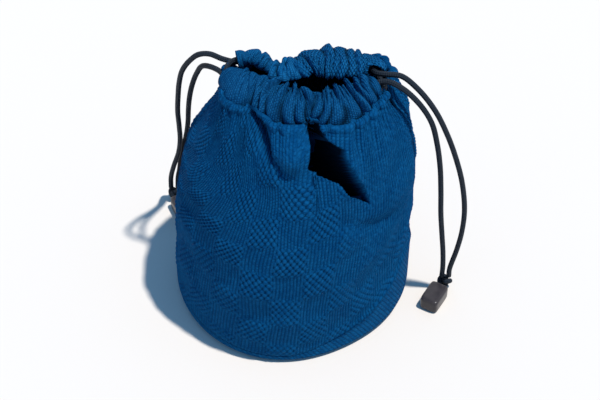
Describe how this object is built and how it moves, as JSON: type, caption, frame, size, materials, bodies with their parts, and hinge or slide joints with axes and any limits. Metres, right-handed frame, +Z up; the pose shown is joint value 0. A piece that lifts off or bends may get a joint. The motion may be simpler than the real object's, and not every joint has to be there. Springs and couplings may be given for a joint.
{
  "type": "kinchaku drawstring pouch",
  "caption": "Gathered cloth drawstring pouch with a round base, a front and back casing, and a knotted, beaded drawcord at each side, standing pulled nearly shut.",
  "frame": {"origin": "the middle of the base's underside, on the surface that the pouch stands on", "axes": "+Z up through the mouth, -Y towards the front, +X towards the pouch's right as seen from the front"},
  "size_m": [0.1762, 0.1387, 0.164],
  "materials": {
    "wall_cloth": "matt indigo checked weave",
    "casing_cloth": "matt indigo ribbed weave",
    "base_cloth": "matt indigo ribbed weave",
    "cord": "waxed charcoal braid",
    "bead": "polished dark"
  },
  "bodies": {
    "root": {"base_panel": "base_cloth", "front_panel": "wall_cloth", "back_panel": "wall_cloth", "front_casing": "casing_cloth", "back_casing": "casing_cloth", "right_drawcord": "cord", "left_drawcord": "cord", "right_knot": "cord", "left_knot": "cord", "right_bead": "bead", "left_bead": "bead"}
  },
  "joints": []
}
